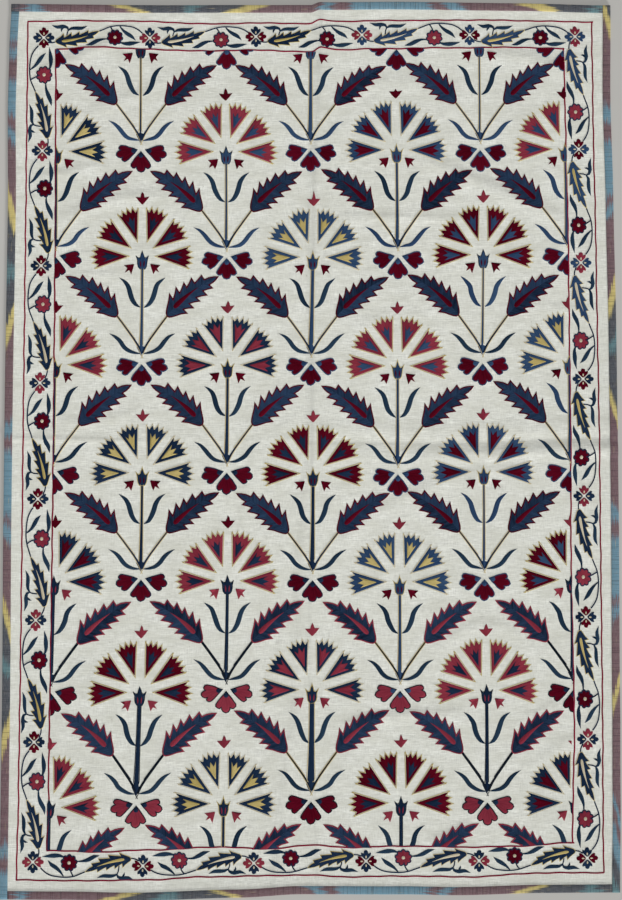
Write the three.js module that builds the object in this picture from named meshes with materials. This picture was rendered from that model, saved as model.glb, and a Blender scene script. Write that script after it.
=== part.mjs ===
// A suzani: an embroidered cotton cloth, laid flat. The cream ground is one cut of cloth, and a
// narrow strip of ikat is folded over each of its four edges, so that every strip has a layer
// above the ground and a layer below it. Millimetres, +Z up, +Y along the length, with the origin
// on the surface that the cloth lies on, under the middle of its outline.
import * as THREE from "three";

// Size of the laid cloth over its edging
const WIDTH = 1500;
const LENGTH = 2190;
const HALF_WIDTH = WIDTH / 2;
const HALF_LENGTH = LENGTH / 2;

// Layers of cloth, and the air between two of them
const GROUND_THICKNESS = 1.4;
const STRIP_THICKNESS = 1.0;
const GAP = 0.4;

// Width of a strip on the face, and the roundings of its fold and of its sewn edge
const STRIP_WIDTH = 19.5;
const FOLD_ROUND = 1.2;
const SEWN_ROUND = 0.9;

// The ground comes down from between the layers of a strip over this width
const HEM_RAMP = 28;
const HEM_CLEARANCE = 1;

// Widest cell of the ground's net of faces
const CELL = 58;

// Colours and finish
const GROUND_COLOUR = 0xdcddd5;
const STRIP_COLOUR = 0x6d6a74;
const CLOTH_ROUGHNESS = 0.92;

// How far each edge lies outside its straight line, at places along it
const EDGES = {
  top: [
    { at: -750, out: -3 },
    { at: -400, out: -4 },
    { at: -150, out: -2 },
    { at: -4, out: -1 },
    { at: 21, out: 6.5 },
    { at: 220, out: 9 },
    { at: 520, out: 7 },
    { at: 750, out: 3 },
  ],
  bottom: [
    { at: -750, out: 3 },
    { at: -606, out: 5 },
    { at: -430, out: 9 },
    { at: -175, out: 3 },
    { at: -30, out: -4 },
    { at: 210, out: -2 },
    { at: 360, out: 1 },
    { at: 550, out: -3 },
    { at: 750, out: -3 },
  ],
  left: [
    { at: -1095, out: 2 },
    { at: -625, out: 1 },
    { at: -190, out: 3 },
    { at: 100, out: 3 },
    { at: 600, out: 1 },
    { at: 825, out: 4 },
    { at: 975, out: 2 },
    { at: 1095, out: -2 },
  ],
  right: [
    { at: -1095, out: -5 },
    { at: -870, out: -1 },
    { at: -630, out: 1 },
    { at: -145, out: 4 },
    { at: 250, out: 4 },
    { at: 600, out: 1 },
    { at: 860, out: -3 },
    { at: 1095, out: 0 },
  ],
};

// An edge's unevenness dies out over this distance into the cloth
const EDGE_EASE = 700;

// The two creases that long folding has left, from edge to edge: where each lies, and its ridge
const LONG_CREASE = [
  { along: -1095, at: 9 },
  { along: -500, at: -9 },
  { along: -20, at: -2 },
  { along: 540, at: 2 },
  { along: 1095, at: 21 },
];
const CROSS_CREASE = [
  { along: -750, at: 5 },
  { along: 340, at: -5 },
  { along: 750, at: 8 },
];
const CREASE_HEIGHT = 3.2;
const CREASE_REACH = 30;
const CREASE_STEPS = [-CREASE_REACH, -11, 0, 11, CREASE_REACH];

// The longest wrinkles: their two ends, how far their middle bows to the left of the way from one
// to the other, and the height of the ridge
const WRINKLES = [
  { fromX: -682, fromY: 938, toX: -477, toY: 1030, bow: -8, height: 3.0 },
  { fromX: -600, fromY: 820, toX: -303, toY: 953, bow: -6, height: 3.0 },
  { fromX: -679, fromY: 657, toX: -500, toY: 700, bow: 4, height: 2.6 },
  { fromX: -634, fromY: 557, toX: -338, toY: 625, bow: 36, height: 3.6 },
  { fromX: -609, fromY: 470, toX: -264, toY: 490, bow: 0, height: 2.4 },
  { fromX: 84, fromY: 879, toX: 408, toY: 780, bow: 74, height: 3.0 },
  { fromX: 422, fromY: 970, toX: 700, toY: 900, bow: 34, height: 3.4 },
  { fromX: 60, fromY: 567, toX: 381, toY: 565, bow: 0, height: 2.8 },
  { fromX: 258, fromY: 723, toX: 656, toY: 554, bow: 22, height: 4.0 },
  { fromX: 95, fromY: 285, toX: 293, toY: 327, bow: 12, height: 2.4 },
  { fromX: 39, fromY: -252, toX: 599, toY: -49, bow: 62, height: 4.0 },
  { fromX: 300, fromY: -500, toX: 545, toY: -489, bow: 46, height: 3.6 },
  { fromX: 60, fromY: -681, toX: 385, toY: -653, bow: 14, height: 3.0 },
  { fromX: 495, fromY: -678, toX: 691, toY: -630, bow: 18, height: 2.8 },
  { fromX: 494, fromY: -798, toX: 700, toY: -670, bow: 4, height: 3.0 },
  { fromX: -665, fromY: -678, toX: -452, toY: -817, bow: -6, height: 2.4 },
];
const WRINKLE_REACH = 62;

function clamp(value, low, high) {
  return Math.min(Math.max(value, low), high);
}

function smooth(t) {
  const c = clamp(t, 0, 1);
  return c * c * (3 - 2 * c);
}

// The value of a short table at a place, eased from one row to the next
function read(rows, place, column, place_column) {
  const first = rows[0];
  if (place <= first[place_column]) {
    return first[column];
  }
  for (let k = 1; k < rows.length; k += 1) {
    const before = rows[k - 1];
    const after = rows[k];
    if (place <= after[place_column]) {
      const t = (place - before[place_column]) / (after[place_column] - before[place_column]);
      return before[column] + (after[column] - before[column]) * smooth(t);
    }
  }
  return rows[rows.length - 1][column];
}

// Where a point of the straight cut lies on the laid cloth
function laid(x, y) {
  const right = read(EDGES.right, y, "out", "at") * smooth(1 - (HALF_WIDTH - x) / EDGE_EASE);
  const left = read(EDGES.left, y, "out", "at") * smooth(1 - (HALF_WIDTH + x) / EDGE_EASE);
  const top = read(EDGES.top, x, "out", "at") * smooth(1 - (HALF_LENGTH - y) / EDGE_EASE);
  const bottom = read(EDGES.bottom, x, "out", "at") * smooth(1 - (HALF_LENGTH + y) / EDGE_EASE);
  return { x: x + right - left, y: y + top - bottom };
}

// A ridge's height at a distance from its crest
function ridge(distance, reach) {
  const t = Math.abs(distance) / reach;
  return t < 1 ? (1 - t * t) ** 2 : 0;
}

function wrinkleRise(x, y) {
  let highest = 0;
  for (const w of WRINKLES) {
    const runX = w.toX - w.fromX;
    const runY = w.toY - w.fromY;
    const run = Math.hypot(runX, runY);
    const t = clamp(((x - w.fromX) * runX + (y - w.fromY) * runY) / (run * run), 0, 1);
    const aside = ((y - w.fromY) * runX - (x - w.fromX) * runY) / run;
    const beyond = Math.hypot(x - w.fromX - t * runX, y - w.fromY - t * runY);
    const swell = 4 * t * (1 - t);
    const distance = t > 0 && t < 1 ? aside - w.bow * swell : beyond;
    highest = Math.max(highest, w.height * Math.sqrt(swell) * ridge(distance, WRINKLE_REACH));
  }
  return highest;
}

// How far the cloth stands off the surface. Along the rim it stays as it is at the rim's inner
// side, so that the layers of the edging and the ground between them rise together.
const RIM = STRIP_WIDTH + HEM_CLEARANCE + HEM_RAMP;
function rise(x, y) {
  const inX = clamp(x, RIM - HALF_WIDTH, HALF_WIDTH - RIM);
  const inY = clamp(y, RIM - HALF_LENGTH, HALF_LENGTH - RIM);
  const long = ridge(inX - read(LONG_CREASE, inY, "at", "along"), CREASE_REACH);
  const cross = ridge(inY - read(CROSS_CREASE, inX, "at", "along"), CREASE_REACH);
  return Math.max(CREASE_HEIGHT * long, CREASE_HEIGHT * cross, wrinkleRise(inX, inY));
}

// The extra height of the ground where a strip's lower layer is under it
function hemLift(x, y) {
  const inward = Math.min(HALF_WIDTH - Math.abs(x), HALF_LENGTH - Math.abs(y));
  const down = smooth((inward - STRIP_WIDTH - HEM_CLEARANCE) / HEM_RAMP);
  return (STRIP_THICKNESS + GAP) * (1 - down);
}

// Places of the net's lines along one side of the cloth: the rim's lines, even steps between, and
// a close group that follows a crease
function netLines(half, crease) {
  const edge = half - STRIP_THICKNESS - GAP;
  const hem = half - STRIP_WIDTH - HEM_CLEARANCE;
  const field = half - RIM;
  const group = CREASE_STEPS.map((step) => crease + step);
  const lines = [-edge, -hem];
  for (const [from, to] of [[-field, group[0]], [group[group.length - 1], field]]) {
    const count = Math.ceil((to - from) / CELL);
    const inner = from === -field ? count : count + 1;
    for (let k = from === -field ? 0 : 1; k < inner; k += 1) {
      lines.push(from + ((to - from) * k) / count);
    }
    if (from === -field) {
      lines.push(...group);
    }
  }
  return [...lines, hem, edge];
}

// A closed mesh from its corners and faces, turned inside out where its faces point inwards
function closedGeometry(corners, faces) {
  let volume = 0;
  for (const [a, b, c] of faces) {
    const [p, q, r] = [corners[a], corners[b], corners[c]];
    volume += p[0] * (q[1] * r[2] - q[2] * r[1]);
    volume += p[1] * (q[2] * r[0] - q[0] * r[2]);
    volume += p[2] * (q[0] * r[1] - q[1] * r[0]);
  }
  const turned = volume < 0 ? faces.map(([a, b, c]) => [a, c, b]) : faces;
  const geometry = new THREE.BufferGeometry();
  geometry.setAttribute("position", new THREE.Float32BufferAttribute(corners.flat(), 3));
  geometry.setIndex(turned.flat());
  geometry.computeVertexNormals();
  return geometry;
}

function cloth(name, geometry, colour) {
  const material = new THREE.MeshStandardMaterial({
    color: colour,
    roughness: CLOTH_ROUGHNESS,
    metalness: 0,
  });
  const mesh = new THREE.Mesh(geometry, material);
  mesh.name = name;
  return mesh;
}

// The cream ground: a net of faces above and below, closed along the four cut edges
function groundGeometry() {
  const columns = netLines(HALF_WIDTH, 0).length;
  const rows = netLines(HALF_LENGTH, 0).length;
  const corners = [];
  for (let row = 0; row < rows; row += 1) {
    for (let column = 0; column < columns; column += 1) {
      const { x, y } = netPoint(column, row);
      const place = laid(x, y);
      const bottom = rise(x, y) + hemLift(x, y);
      corners.push([place.x, place.y, bottom], [place.x, place.y, bottom + GROUND_THICKNESS]);
    }
  }
  const below = (column, row) => 2 * (row * columns + column);
  const above = (column, row) => below(column, row) + 1;
  const faces = [];
  for (let row = 0; row + 1 < rows; row += 1) {
    for (let column = 0; column + 1 < columns; column += 1) {
      const [right, next] = [column + 1, row + 1];
      faces.push([above(column, row), above(right, row), above(right, next)]);
      faces.push([above(column, row), above(right, next), above(column, next)]);
      faces.push([below(column, row), below(right, next), below(right, row)]);
      faces.push([below(column, row), below(column, next), below(right, next)]);
    }
  }
  const wall = (columnA, rowA, columnB, rowB) => {
    faces.push([below(columnA, rowA), below(columnB, rowB), above(columnB, rowB)]);
    faces.push([below(columnA, rowA), above(columnB, rowB), above(columnA, rowA)]);
  };
  for (let column = 0; column + 1 < columns; column += 1) {
    wall(column, 0, column + 1, 0);
    wall(column + 1, rows - 1, column, rows - 1);
  }
  for (let row = 0; row + 1 < rows; row += 1) {
    wall(columns - 1, row, columns - 1, row + 1);
    wall(0, row + 1, 0, row);
  }
  return closedGeometry(corners, faces);
}

// A crossing of the ground's net. The lines near a crease lean to follow it.
function netPoint(column, row) {
  const straightY = netLines(HALF_LENGTH, 0)[row];
  const straightX = netLines(HALF_WIDTH, 0)[column];
  const x = netLines(HALF_WIDTH, read(LONG_CREASE, straightY, "at", "along"))[column];
  const y = netLines(HALF_LENGTH, read(CROSS_CREASE, straightX, "at", "along"))[row];
  return { x, y };
}

// The section of an edging strip, as steps inward from the cloth's edge and heights
function stripSection() {
  const top = 2 * (STRIP_THICKNESS + GAP) + GROUND_THICKNESS;
  const inner = top - STRIP_THICKNESS;
  return [
    { inward: STRIP_WIDTH, up: 0 },
    { inward: FOLD_ROUND, up: 0 },
    { inward: FOLD_ROUND * 0.3, up: FOLD_ROUND * 0.3 },
    { inward: 0, up: FOLD_ROUND },
    { inward: 0, up: top - FOLD_ROUND },
    { inward: FOLD_ROUND * 0.3, up: top - FOLD_ROUND * 0.3 },
    { inward: FOLD_ROUND, up: top },
    { inward: STRIP_WIDTH - SEWN_ROUND, up: top },
    { inward: STRIP_WIDTH, up: top - SEWN_ROUND * 0.6 },
    { inward: STRIP_WIDTH, up: inner },
    { inward: STRIP_THICKNESS, up: inner },
    { inward: STRIP_THICKNESS, up: STRIP_THICKNESS },
    { inward: STRIP_WIDTH, up: STRIP_THICKNESS },
  ];
}

// A strip along one edge: its section carried from one end to the other over the net's lines.
// point(along, inward) gives a place on the straight cut.
function stripGeometry(lines, from, to, point) {
  const section = stripSection();
  const stations = [from, ...lines.filter((line) => line > from && line < to), to];
  const corners = [];
  for (const along of stations) {
    for (const { inward, up } of section) {
      const straight = point(along, inward);
      const place = laid(straight.x, straight.y);
      corners.push([place.x, place.y, up + rise(straight.x, straight.y)]);
    }
  }
  const size = section.length;
  const faces = [];
  for (let k = 0; k + 1 < stations.length; k += 1) {
    for (let s = 0; s < size; s += 1) {
      const a = k * size + s;
      const b = k * size + ((s + 1) % size);
      faces.push([a, b, b + size], [a, b + size, a + size]);
    }
  }
  const outline = section.map(({ inward, up }) => new THREE.Vector2(inward, up));
  const last = (stations.length - 1) * size;
  const clockwise = THREE.ShapeUtils.isClockWise(outline);
  for (const [a, b, c] of THREE.ShapeUtils.triangulateShape(outline, [])) {
    const start = clockwise ? [a, b, c] : [a, c, b];
    const end = [start[0], start[2], start[1]].map((corner) => corner + last);
    faces.push(start, end);
  }
  return closedGeometry(corners, faces);
}

const xLines = netLines(HALF_WIDTH, read(LONG_CREASE, HALF_LENGTH, "at", "along"));
const xLinesBottom = netLines(HALF_WIDTH, read(LONG_CREASE, -HALF_LENGTH, "at", "along"));
const yLinesLeft = netLines(HALF_LENGTH, read(CROSS_CREASE, -HALF_WIDTH, "at", "along"));
const yLinesRight = netLines(HALF_LENGTH, read(CROSS_CREASE, HALF_WIDTH, "at", "along"));

// At each corner one strip runs through and the other ends against it
const sideX = HALF_WIDTH - STRIP_WIDTH - GAP;
const sideY = HALF_LENGTH - STRIP_WIDTH - GAP;
const strips = [
  {
    name: "edging_top",
    lines: xLines,
    from: -HALF_WIDTH,
    to: sideX,
    point: (along, inward) => ({ x: along, y: HALF_LENGTH - inward }),
  },
  {
    name: "edging_bottom",
    lines: xLinesBottom,
    from: -sideX,
    to: sideX,
    point: (along, inward) => ({ x: along, y: inward - HALF_LENGTH }),
  },
  {
    name: "edging_left",
    lines: yLinesLeft,
    from: -HALF_LENGTH,
    to: sideY,
    point: (along, inward) => ({ x: inward - HALF_WIDTH, y: along }),
  },
  {
    name: "edging_right",
    lines: yLinesRight,
    from: -HALF_LENGTH,
    to: HALF_LENGTH,
    point: (along, inward) => ({ x: HALF_WIDTH - inward, y: along }),
  },
];

const suzani = new THREE.Group();
suzani.add(cloth("ground_cloth", groundGeometry(), GROUND_COLOUR));
for (const { name, lines, from, to, point } of strips) {
  suzani.add(cloth(name, stripGeometry(lines, from, to, point), STRIP_COLOUR));
}

// The uneven outline is centred over the origin
const outlineBox = new THREE.Box3().setFromObject(suzani);
const middle = outlineBox.getCenter(new THREE.Vector3());
for (const mesh of suzani.children) {
  mesh.position.set(-middle.x, -middle.y, -outlineBox.min.z);
}

export default suzani;
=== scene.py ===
import math
import random

import bmesh
import bpy
import numpy as np
from mathutils import Matrix, Vector


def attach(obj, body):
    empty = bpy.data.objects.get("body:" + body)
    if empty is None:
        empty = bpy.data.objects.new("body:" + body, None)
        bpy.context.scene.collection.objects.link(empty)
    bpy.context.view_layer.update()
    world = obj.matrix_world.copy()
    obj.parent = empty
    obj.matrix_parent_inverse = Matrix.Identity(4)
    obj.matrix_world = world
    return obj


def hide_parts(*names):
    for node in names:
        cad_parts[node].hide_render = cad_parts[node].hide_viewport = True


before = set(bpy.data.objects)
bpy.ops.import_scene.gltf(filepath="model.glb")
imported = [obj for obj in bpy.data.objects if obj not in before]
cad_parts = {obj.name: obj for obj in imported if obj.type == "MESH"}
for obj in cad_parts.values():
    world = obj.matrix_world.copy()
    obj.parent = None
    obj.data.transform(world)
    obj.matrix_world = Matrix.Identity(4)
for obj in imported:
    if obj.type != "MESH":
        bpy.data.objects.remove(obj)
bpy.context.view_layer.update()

MM = 0.001
random.seed(7)

# The cut cloth and its layers
WIDTH = 1500
LENGTH = 2190
HALF_WIDTH = WIDTH / 2
HALF_LENGTH = LENGTH / 2
GROUND_THICKNESS = 1.4
STRIP_THICKNESS = 1.0
GAP = 0.4
STRIP_WIDTH = 19.5
HEM_RAMP = 28
HEM_CLEARANCE = 1
RIM = STRIP_WIDTH + HEM_CLEARANCE + HEM_RAMP

# Embroidery: height of the thread over the cloth, width of its rounded rim, and the longest face
LIFT = 0.55
EDGE = 1.1
STEP = 7.5
SUNK = 0.15

# How far each edge lies outside its straight line: place along the edge, distance outwards
EDGES = {
    "top": [(-750, -3), (-400, -4), (-150, -2), (-4, -1), (21, 6.5), (220, 9), (520, 7), (750, 3)],
    "bottom": [(-750, 3), (-606, 5), (-430, 9), (-175, 3), (-30, -4), (210, -2), (360, 1), (550, -3),
               (750, -3)],
    "left": [(-1095, 2), (-625, 1), (-190, 3), (100, 3), (600, 1), (825, 4), (975, 2), (1095, -2)],
    "right": [(-1095, -5), (-870, -1), (-630, 1), (-145, 4), (250, 4), (600, 1), (860, -3), (1095, 0)],
}
EDGE_EASE = 700

# The creases of long folding: place along the crease, where it lies across
LONG_CREASE = [(-1095, 9), (-500, -9), (-20, -2), (540, 2), (1095, 21)]
CROSS_CREASE = [(-750, 5), (340, -5), (750, 8)]
SECOND_CREASE = [(-1095, -96), (-915, -80), (-628, -43), (-386, -34), (-142, -25), (-20, -6)]

# Wrinkles: from x, from y, to x, to y, how far the middle bows to the left of the way, height, reach
WRINKLES = [
    (-682, 938, -477, 1030, -8, 1.8, 30),
    (-600, 820, -303, 953, -12, 1.2, 30),
    (-679, 657, -500, 700, 6, 1.5, 26),
    (-634, 557, -338, 625, 24, 2.0, 32),
    (-609, 470, -264, 490, 6, 0.9, 28),
    (-608, 420, -436, 423, 0, 1.2, 18),
    (84, 879, 408, 780, 72, 1.2, 32),
    (422, 970, 700, 900, 32, 2.0, 32),
    (60, 567, 381, 565, 0, 2.0, 22),
    (258, 723, 656, 554, 6, 2.4, 38),
    (529, 353, 703, 341, -6, 1.0, 22),
    (95, 285, 293, 327, 14, 0.8, 26),
    (39, -252, 599, -49, 62, 1.3, 36),
    (300, -500, 545, -489, 60, 1.4, 30),
    (60, -681, 385, -653, 12, 2.2, 24),
    (495, -678, 691, -630, 16, 1.3, 22),
    (494, -798, 700, -670, 0, 0.9, 28),
    (273, -957, 371, -917, -8, 1.6, 22),
    (-665, -678, -452, -817, -6, 0.5, 28),
    (-576, -389, -479, -390, -8, 0.8, 20),
    (-641, 62, -409, 99, -20, 1.3, 24),
    (-900, 18, -380, 8, 0, 1.7, 14),
    (-103, 30, -41, 67, 0, 0.8, 20),
]


def smooth(t):
    t = np.clip(t, 0, 1)
    return t * t * (3 - 2 * t)


def eased(rows, place):
    at, value = np.array(rows, float).T
    k = np.clip(np.searchsorted(at, place) - 1, 0, len(at) - 2)
    t = smooth((place - at[k]) / (at[k + 1] - at[k]))
    return value[k] + (value[k + 1] - value[k]) * t


def laid(x, y):
    """Where a point of the straight cut lies on the laid cloth."""
    right = eased(EDGES["right"], y) * smooth(1 - (HALF_WIDTH - x) / EDGE_EASE)
    left = eased(EDGES["left"], y) * smooth(1 - (HALF_WIDTH + x) / EDGE_EASE)
    top = eased(EDGES["top"], x) * smooth(1 - (HALF_LENGTH - y) / EDGE_EASE)
    bottom = eased(EDGES["bottom"], x) * smooth(1 - (HALF_LENGTH + y) / EDGE_EASE)
    return x + right - left, y + top - bottom


def ridge(distance, reach):
    t = np.abs(distance) / reach
    return np.where(t < 1, (1 - t * t) ** 2, 0)


def wrinkle_rise(x, y, aim=0.0, share=1.0):
    """Height of the wrinkles. aim moves them to their left, by parts of their reach, and share narrows them."""
    highest = np.zeros_like(x)
    for from_x, from_y, to_x, to_y, bow, height, reach in WRINKLES:
        run_x, run_y = to_x - from_x, to_y - from_y
        run = math.hypot(run_x, run_y)
        t = np.clip(((x - from_x) * run_x + (y - from_y) * run_y) / run**2, 0, 1)
        aside = ((y - from_y) * run_x - (x - from_x) * run_y) / run
        beyond = np.hypot(x - from_x - t * run_x, y - from_y - t * run_y)
        swell = 4 * t * (1 - t)
        distance = np.where((t > 0) & (t < 1), aside - bow * swell, beyond)
        highest = np.maximum(highest, height * np.sqrt(swell) * ridge(distance - aim * reach, share * reach))
    return highest


def ripple(x, y):
    """The soft unevenness of a washed cloth that much stitching has drawn in."""
    slow = np.sin(x / 61 + 1.3 * np.sin(y / 143)) * np.sin(y / 77 + 1.1 * np.sin(x / 119))
    quick = np.sin(x / 23 + 2.1 * np.sin(y / 51)) * np.sin(y / 27 + 1.7 * np.sin(x / 43))
    return 0.62 + 0.3 * slow + 0.28 * quick


def rise(x, y):
    """How far the cloth stands off the surface, by places on the straight cut."""
    in_x = np.clip(x, RIM - HALF_WIDTH, HALF_WIDTH - RIM)
    in_y = np.clip(y, RIM - HALF_LENGTH, HALF_LENGTH - RIM)
    upper = smooth((in_y + 100) / 200)
    long = (0.5 + 0.6 * upper) * ridge(in_x - eased(LONG_CREASE, in_y), 17)
    # on the right the cross crease is a trough between two swells, and the lower swell grows outwards
    off = in_y - eased(CROSS_CREASE, in_x)
    right = smooth((in_x + 60) / 120)
    below = (0.5 + 2 * smooth((in_x - 60) / 500)) * ridge(off + 28, 26)
    cross = right * (below + 1.3 * ridge(off - 30, 31)) + 0.4 * (1 - right) * ridge(off - 10, 16)
    second = 0.6 * ridge(in_x - eased(SECOND_CREASE, in_y), 16) * (1 - upper)
    creases = np.maximum(np.maximum(long, cross), second)
    wrinkles = 0.5 * wrinkle_rise(in_x, in_y, -0.45) + 0.25 * wrinkle_rise(in_x, in_y, -0.45, 0.55)
    inward = np.minimum(HALF_WIDTH - np.abs(x), HALF_LENGTH - np.abs(y))
    free = smooth((inward - STRIP_WIDTH) / RIM)
    return np.maximum(creases, wrinkles) + free * ripple(x, y)


def painted_shade(x, y):
    """How much painted shade darkens the creases and the lee of the wrinkles, from none to one."""
    off = x - eased(LONG_CREASE, y)
    upper = smooth((y + 100) / 200)
    long = 0.35 * ridge(off - 2, 7) + 0.3 * upper * ridge(off - 3, 24)
    second = 0.28 * ridge(x - eased(SECOND_CREASE, y), 18) * (1 - upper)
    off = y - eased(CROSS_CREASE, x)
    right = smooth((x + 60) / 120)
    cross = right * (0.75 * ridge(off, 8) + 0.55 * smooth((x - 60) / 500) * ridge(off + 10, 15))
    cross += 0.12 * (1 - right) * ridge(off - 4, 8)
    return np.clip(long + second + cross + 0.22 * wrinkle_rise(x, y, -0.1, 0.5), 0, 1)


def hem_lift(x, y):
    """The extra height of the ground where a strip's lower layer is under it."""
    inward = np.minimum(HALF_WIDTH - np.abs(x), HALF_LENGTH - np.abs(y))
    down = smooth((inward - STRIP_WIDTH - HEM_CLEARANCE) / HEM_RAMP)
    return (STRIP_THICKNESS + GAP) * (1 - down)


def cloth_top(x, y):
    """Height of the ground's face under a place of the laid cloth."""
    laid_x, laid_y = laid(x, y)
    cut_x, cut_y = 2 * x - laid_x, 2 * y - laid_y
    return rise(cut_x, cut_y) + hem_lift(cut_x, cut_y) + GROUND_THICKNESS


# Camera, at the photograph's angle and distance: its place in metres, and angles in degrees
CAMERA_PLACE = (-0.0383, -0.1143, 2.3697)
CAMERA_TURN = (2.293, -0.848, -0.044)
FIELD_OF_VIEW = 50
SENSOR = 36
FLOOR_SIZE = 4
FLOOR_TONES = ((176, 174, 170), (184, 182, 178))
SKY = (0.95, 0.98, 1, 1)
SKY_STRENGTH = 0.36


def add_camera():
    camera = bpy.data.objects.new("camera", bpy.data.cameras.new("camera"))
    camera.location = CAMERA_PLACE
    camera.rotation_euler = [math.radians(turn) for turn in CAMERA_TURN]
    camera.data.sensor_width = SENSOR
    camera.data.lens = SENSOR / 2 / math.tan(math.radians(FIELD_OF_VIEW / 2))
    bpy.context.collection.objects.link(camera)
    bpy.context.scene.camera = camera


def add_light(kind, name, place, power, tint):
    light = bpy.data.objects.new(name, bpy.data.lights.new(name, kind))
    light.data.energy = power
    light.data.color = tint
    light.location = place
    light.rotation_euler = (-Vector(place)).to_track_quat("-Z", "Y").to_euler()
    bpy.context.collection.objects.link(light)
    return light.data


def add_studio():
    bm = bmesh.new()
    bmesh.ops.create_grid(bm, x_segments=1, y_segments=1, size=FLOOR_SIZE)
    floor = finished("floor", bm, studio_floor())
    add_light("AREA", "overhead", (0, 0.1, 4.4), 92, (1, 0.995, 0.98)).size = 3.4
    add_light("SUN", "low_window", (2.2, -4.8, 1), 4.7, (1, 0.99, 0.97)).angle = math.radians(8)
    world = bpy.data.worlds.new("soft_sky")
    world.use_nodes = True
    sky = world.node_tree.nodes["Background"]
    sky.inputs["Color"].default_value = SKY
    sky.inputs["Strength"].default_value = SKY_STRENGTH
    bpy.context.scene.world = world
    bpy.context.scene.view_settings.view_transform = "Standard"


# Materials

def tint(red, green, blue):
    """A colour given in ordinary screen values."""
    def linear(value):
        value /= 255
        return value / 12.92 if value <= 0.04045 else ((value + 0.055) / 1.055) ** 2.4
    return (linear(red), linear(green), linear(blue), 1)


class Nodes:
    """A material and short calls that add and link its nodes."""

    def __init__(self, name, roughness, specular=0.0):
        self.material = bpy.data.materials.new(name)
        self.material.use_nodes = True
        self.tree = self.material.node_tree
        self.shader = self.tree.nodes["Principled BSDF"]
        self.shader.inputs["Roughness"].default_value = roughness
        self.shader.inputs["Specular IOR Level"].default_value = specular

    def add(self, kind, settings=None, **inputs):
        node = self.tree.nodes.new(kind)
        for name, value in (settings or {}).items():
            setattr(node, name, value)
        for name, value in inputs.items():
            self.put(node.inputs[name.replace("_", " ")], value)
        return node

    def put(self, socket, value):
        if isinstance(value, bpy.types.NodeSocket):
            self.tree.links.new(value, socket)
        else:
            socket.default_value = value

    def math(self, operation, first, second=0.0):
        node = self.add("ShaderNodeMath", {"operation": operation})
        self.put(node.inputs[0], first)
        self.put(node.inputs[1], second)
        return node.outputs[0]

    def sum(self, *parts):
        """The sum of values, each with the share of it that counts."""
        total = None
        for value, share in parts:
            part = value if share == 1 else self.math("MULTIPLY", value, share)
            total = part if total is None else self.math("ADD", total, part)
        return total

    def scaled(self, vector, scale):
        node = self.add("ShaderNodeMapping", Vector=vector)
        node.inputs["Scale"].default_value = scale
        return node.outputs["Vector"]

    def noise(self, vector, scale, detail=2.0, roughness=0.5):
        node = self.add("ShaderNodeTexNoise", Vector=vector, Scale=scale, Detail=detail, Roughness=roughness)
        return node.outputs["Fac"]

    def bands(self, vector, direction, scale, distortion=0.0):
        settings = {"wave_type": "BANDS", "bands_direction": direction, "wave_profile": "SIN"}
        node = self.add("ShaderNodeTexWave", settings, Vector=vector, Scale=scale, Distortion=distortion)
        return node.outputs["Fac"]

    def spread(self, value, low, high, to_low, to_high):
        node = self.add("ShaderNodeMapRange", {"clamp": True}, Value=value)
        for name, number in (("From Min", low), ("From Max", high), ("To Min", to_low), ("To Max", to_high)):
            node.inputs[name].default_value = number
        return node.outputs["Result"]

    def mixed(self, share, first, second):
        node = self.add("ShaderNodeMix", {"data_type": "RGBA"})
        self.put(node.inputs[0], share)
        self.put(node.inputs[6], first)
        self.put(node.inputs[7], second)
        return node.outputs[2]

    def finish(self, colour, height, strength, distance):
        bump = self.add("ShaderNodeBump", Height=height, Strength=strength, Distance=distance)
        self.put(self.shader.inputs["Base Color"], colour)
        self.put(self.shader.inputs["Normal"], bump.outputs["Normal"])
        return self.material


def studio_floor():
    n = Nodes("pale_floor", 0.8)
    place = n.add("ShaderNodeTexCoord").outputs["Object"]
    cloud = n.noise(place, 3.0, 3)
    colour = n.mixed(cloud, *(tint(*tone) for tone in FLOOR_TONES))
    return n.finish(colour, n.noise(place, 400, 2), 0.1, 0.0005)


WEAVE_SCALE = 330
THREAD_SCALE = 260


def cotton():
    """Cream plain weave with slubs along the weft, soft puckers, small flecks of husk, and painted shade in its
    creases and in the lee of its wrinkles.
    """
    n = Nodes("cream_cotton", 0.9)
    place = n.add("ShaderNodeTexCoord").outputs["Object"]
    weave = n.math("MULTIPLY", *(n.bands(place, way, WEAVE_SCALE, 0.6) for way in "XY"))
    slub = n.noise(n.scaled(place, (42, 400, 1)), 1.0, 3, 0.6)
    warp_slub = n.noise(n.scaled(place, (430, 50, 1)), 1.0, 2)
    grain = n.sum((slub, 1.3), (warp_slub, 0.7))
    light = n.mixed(n.spread(grain, 0.66, 1.34, 0, 1), tint(191, 191, 184), tint(239, 240, 233))
    # a soft cloud of darker tone: partly the cloth's uneven tone, partly painted shade of the puckers
    cloud = n.noise(n.scaled(place, (14, 26, 1)), 1.0, 4, 0.6)
    mottled_and_shaded = n.mixed(n.spread(cloud, 0.3, 0.7, 0, 0.8), light, tint(199, 199, 188))
    # painted shade: the vertex attribute below darkens the creases and the lee of the wrinkles towards grey
    shade_amount = n.add("ShaderNodeAttribute", {"attribute_name": "painted_shade"}).outputs["Fac"]
    mottled_and_shaded = n.mixed(n.math("MULTIPLY", shade_amount, 0.42), mottled_and_shaded, tint(146, 146, 140))
    fleck = n.noise(place, 190, 1)
    flecked = n.mixed(n.spread(fleck, 0.75, 0.82, 0, 0.55), mottled_and_shaded, tint(150, 148, 134))
    pucker = n.noise(n.scaled(place, (17, 64, 1)), 1.0, 3, 0.55)
    return n.finish(flecked, n.sum((pucker, 8), (weave, 1), (grain, 1.4)), 0.6, 0.0003)


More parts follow.
